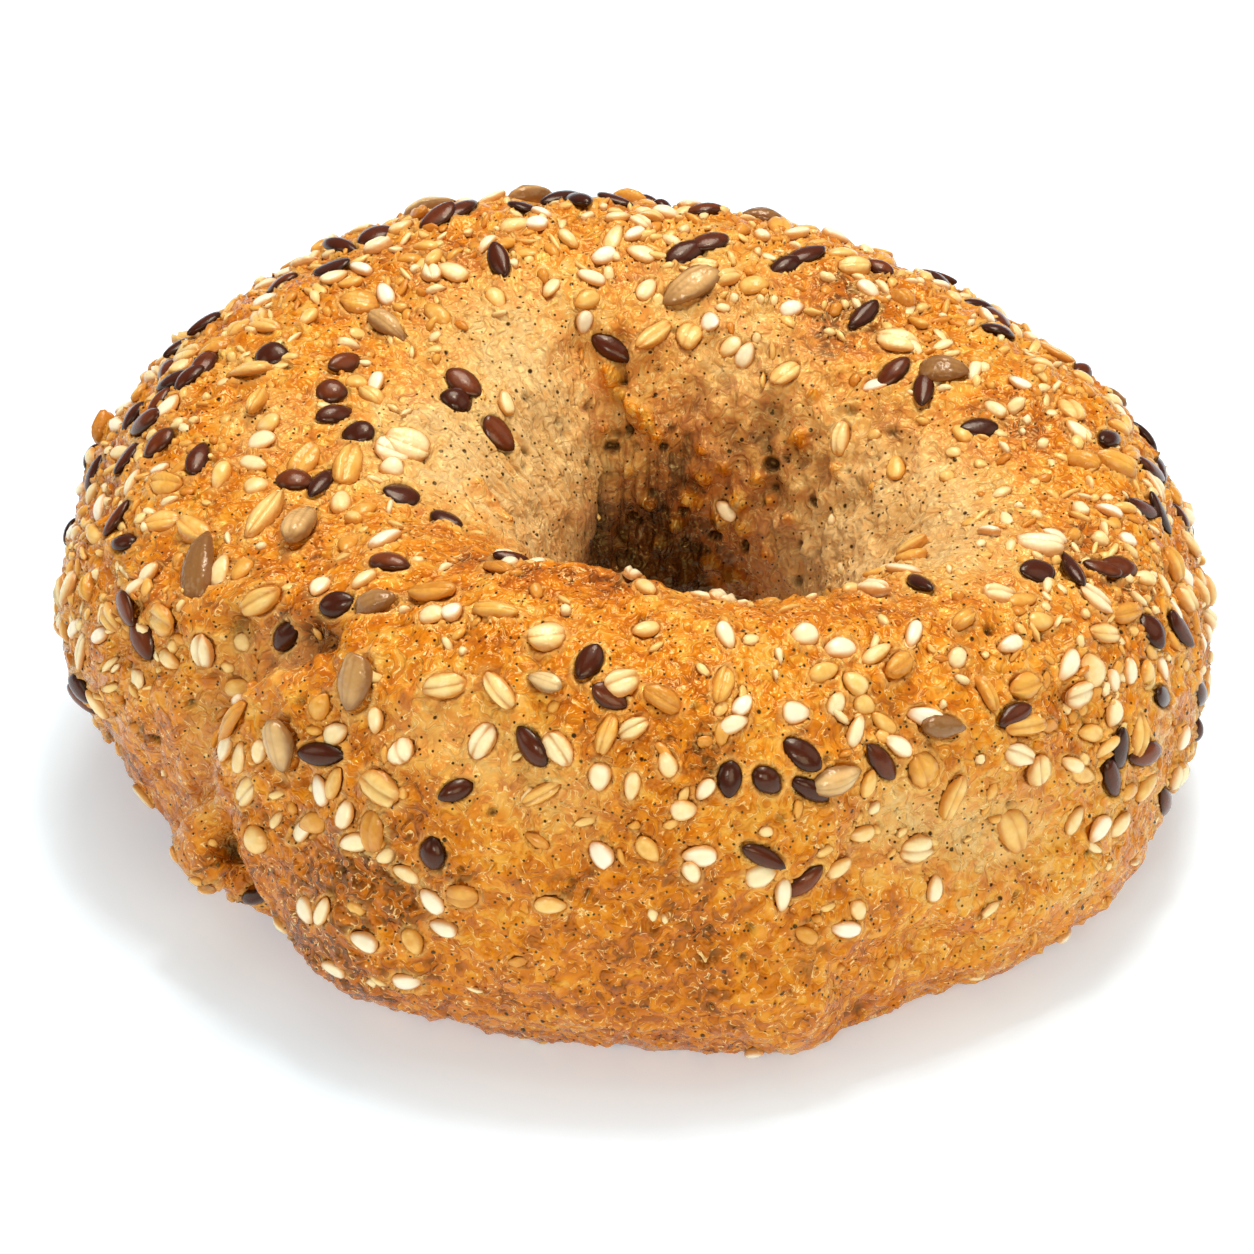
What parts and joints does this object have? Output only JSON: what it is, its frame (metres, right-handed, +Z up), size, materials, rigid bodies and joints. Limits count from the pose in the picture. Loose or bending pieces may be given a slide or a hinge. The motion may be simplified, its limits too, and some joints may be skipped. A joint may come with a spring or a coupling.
{
  "type": "multigrain bagel",
  "caption": "Hand-rolled ring of bread with a glossy brown crust, a round hole, a folded join at its side and a topping of mixed seeds and grains, lying on its flat base.",
  "frame": {"origin": "middle of the flat base, under the centre of the bagel's outline", "axes": "+Z up through the hole, +X along the longest side, -Y towards the front, where the join lies at the left"},
  "size_m": [0.1158, 0.1063, 0.0492],
  "materials": {
    "crust": "satin",
    "linseed": "gloss",
    "sesame": "satin",
    "grain": "satin",
    "sunflower": "satin"
  },
  "bodies": {
    "root": {"bagel": "crust"}
  },
  "joints": []
}
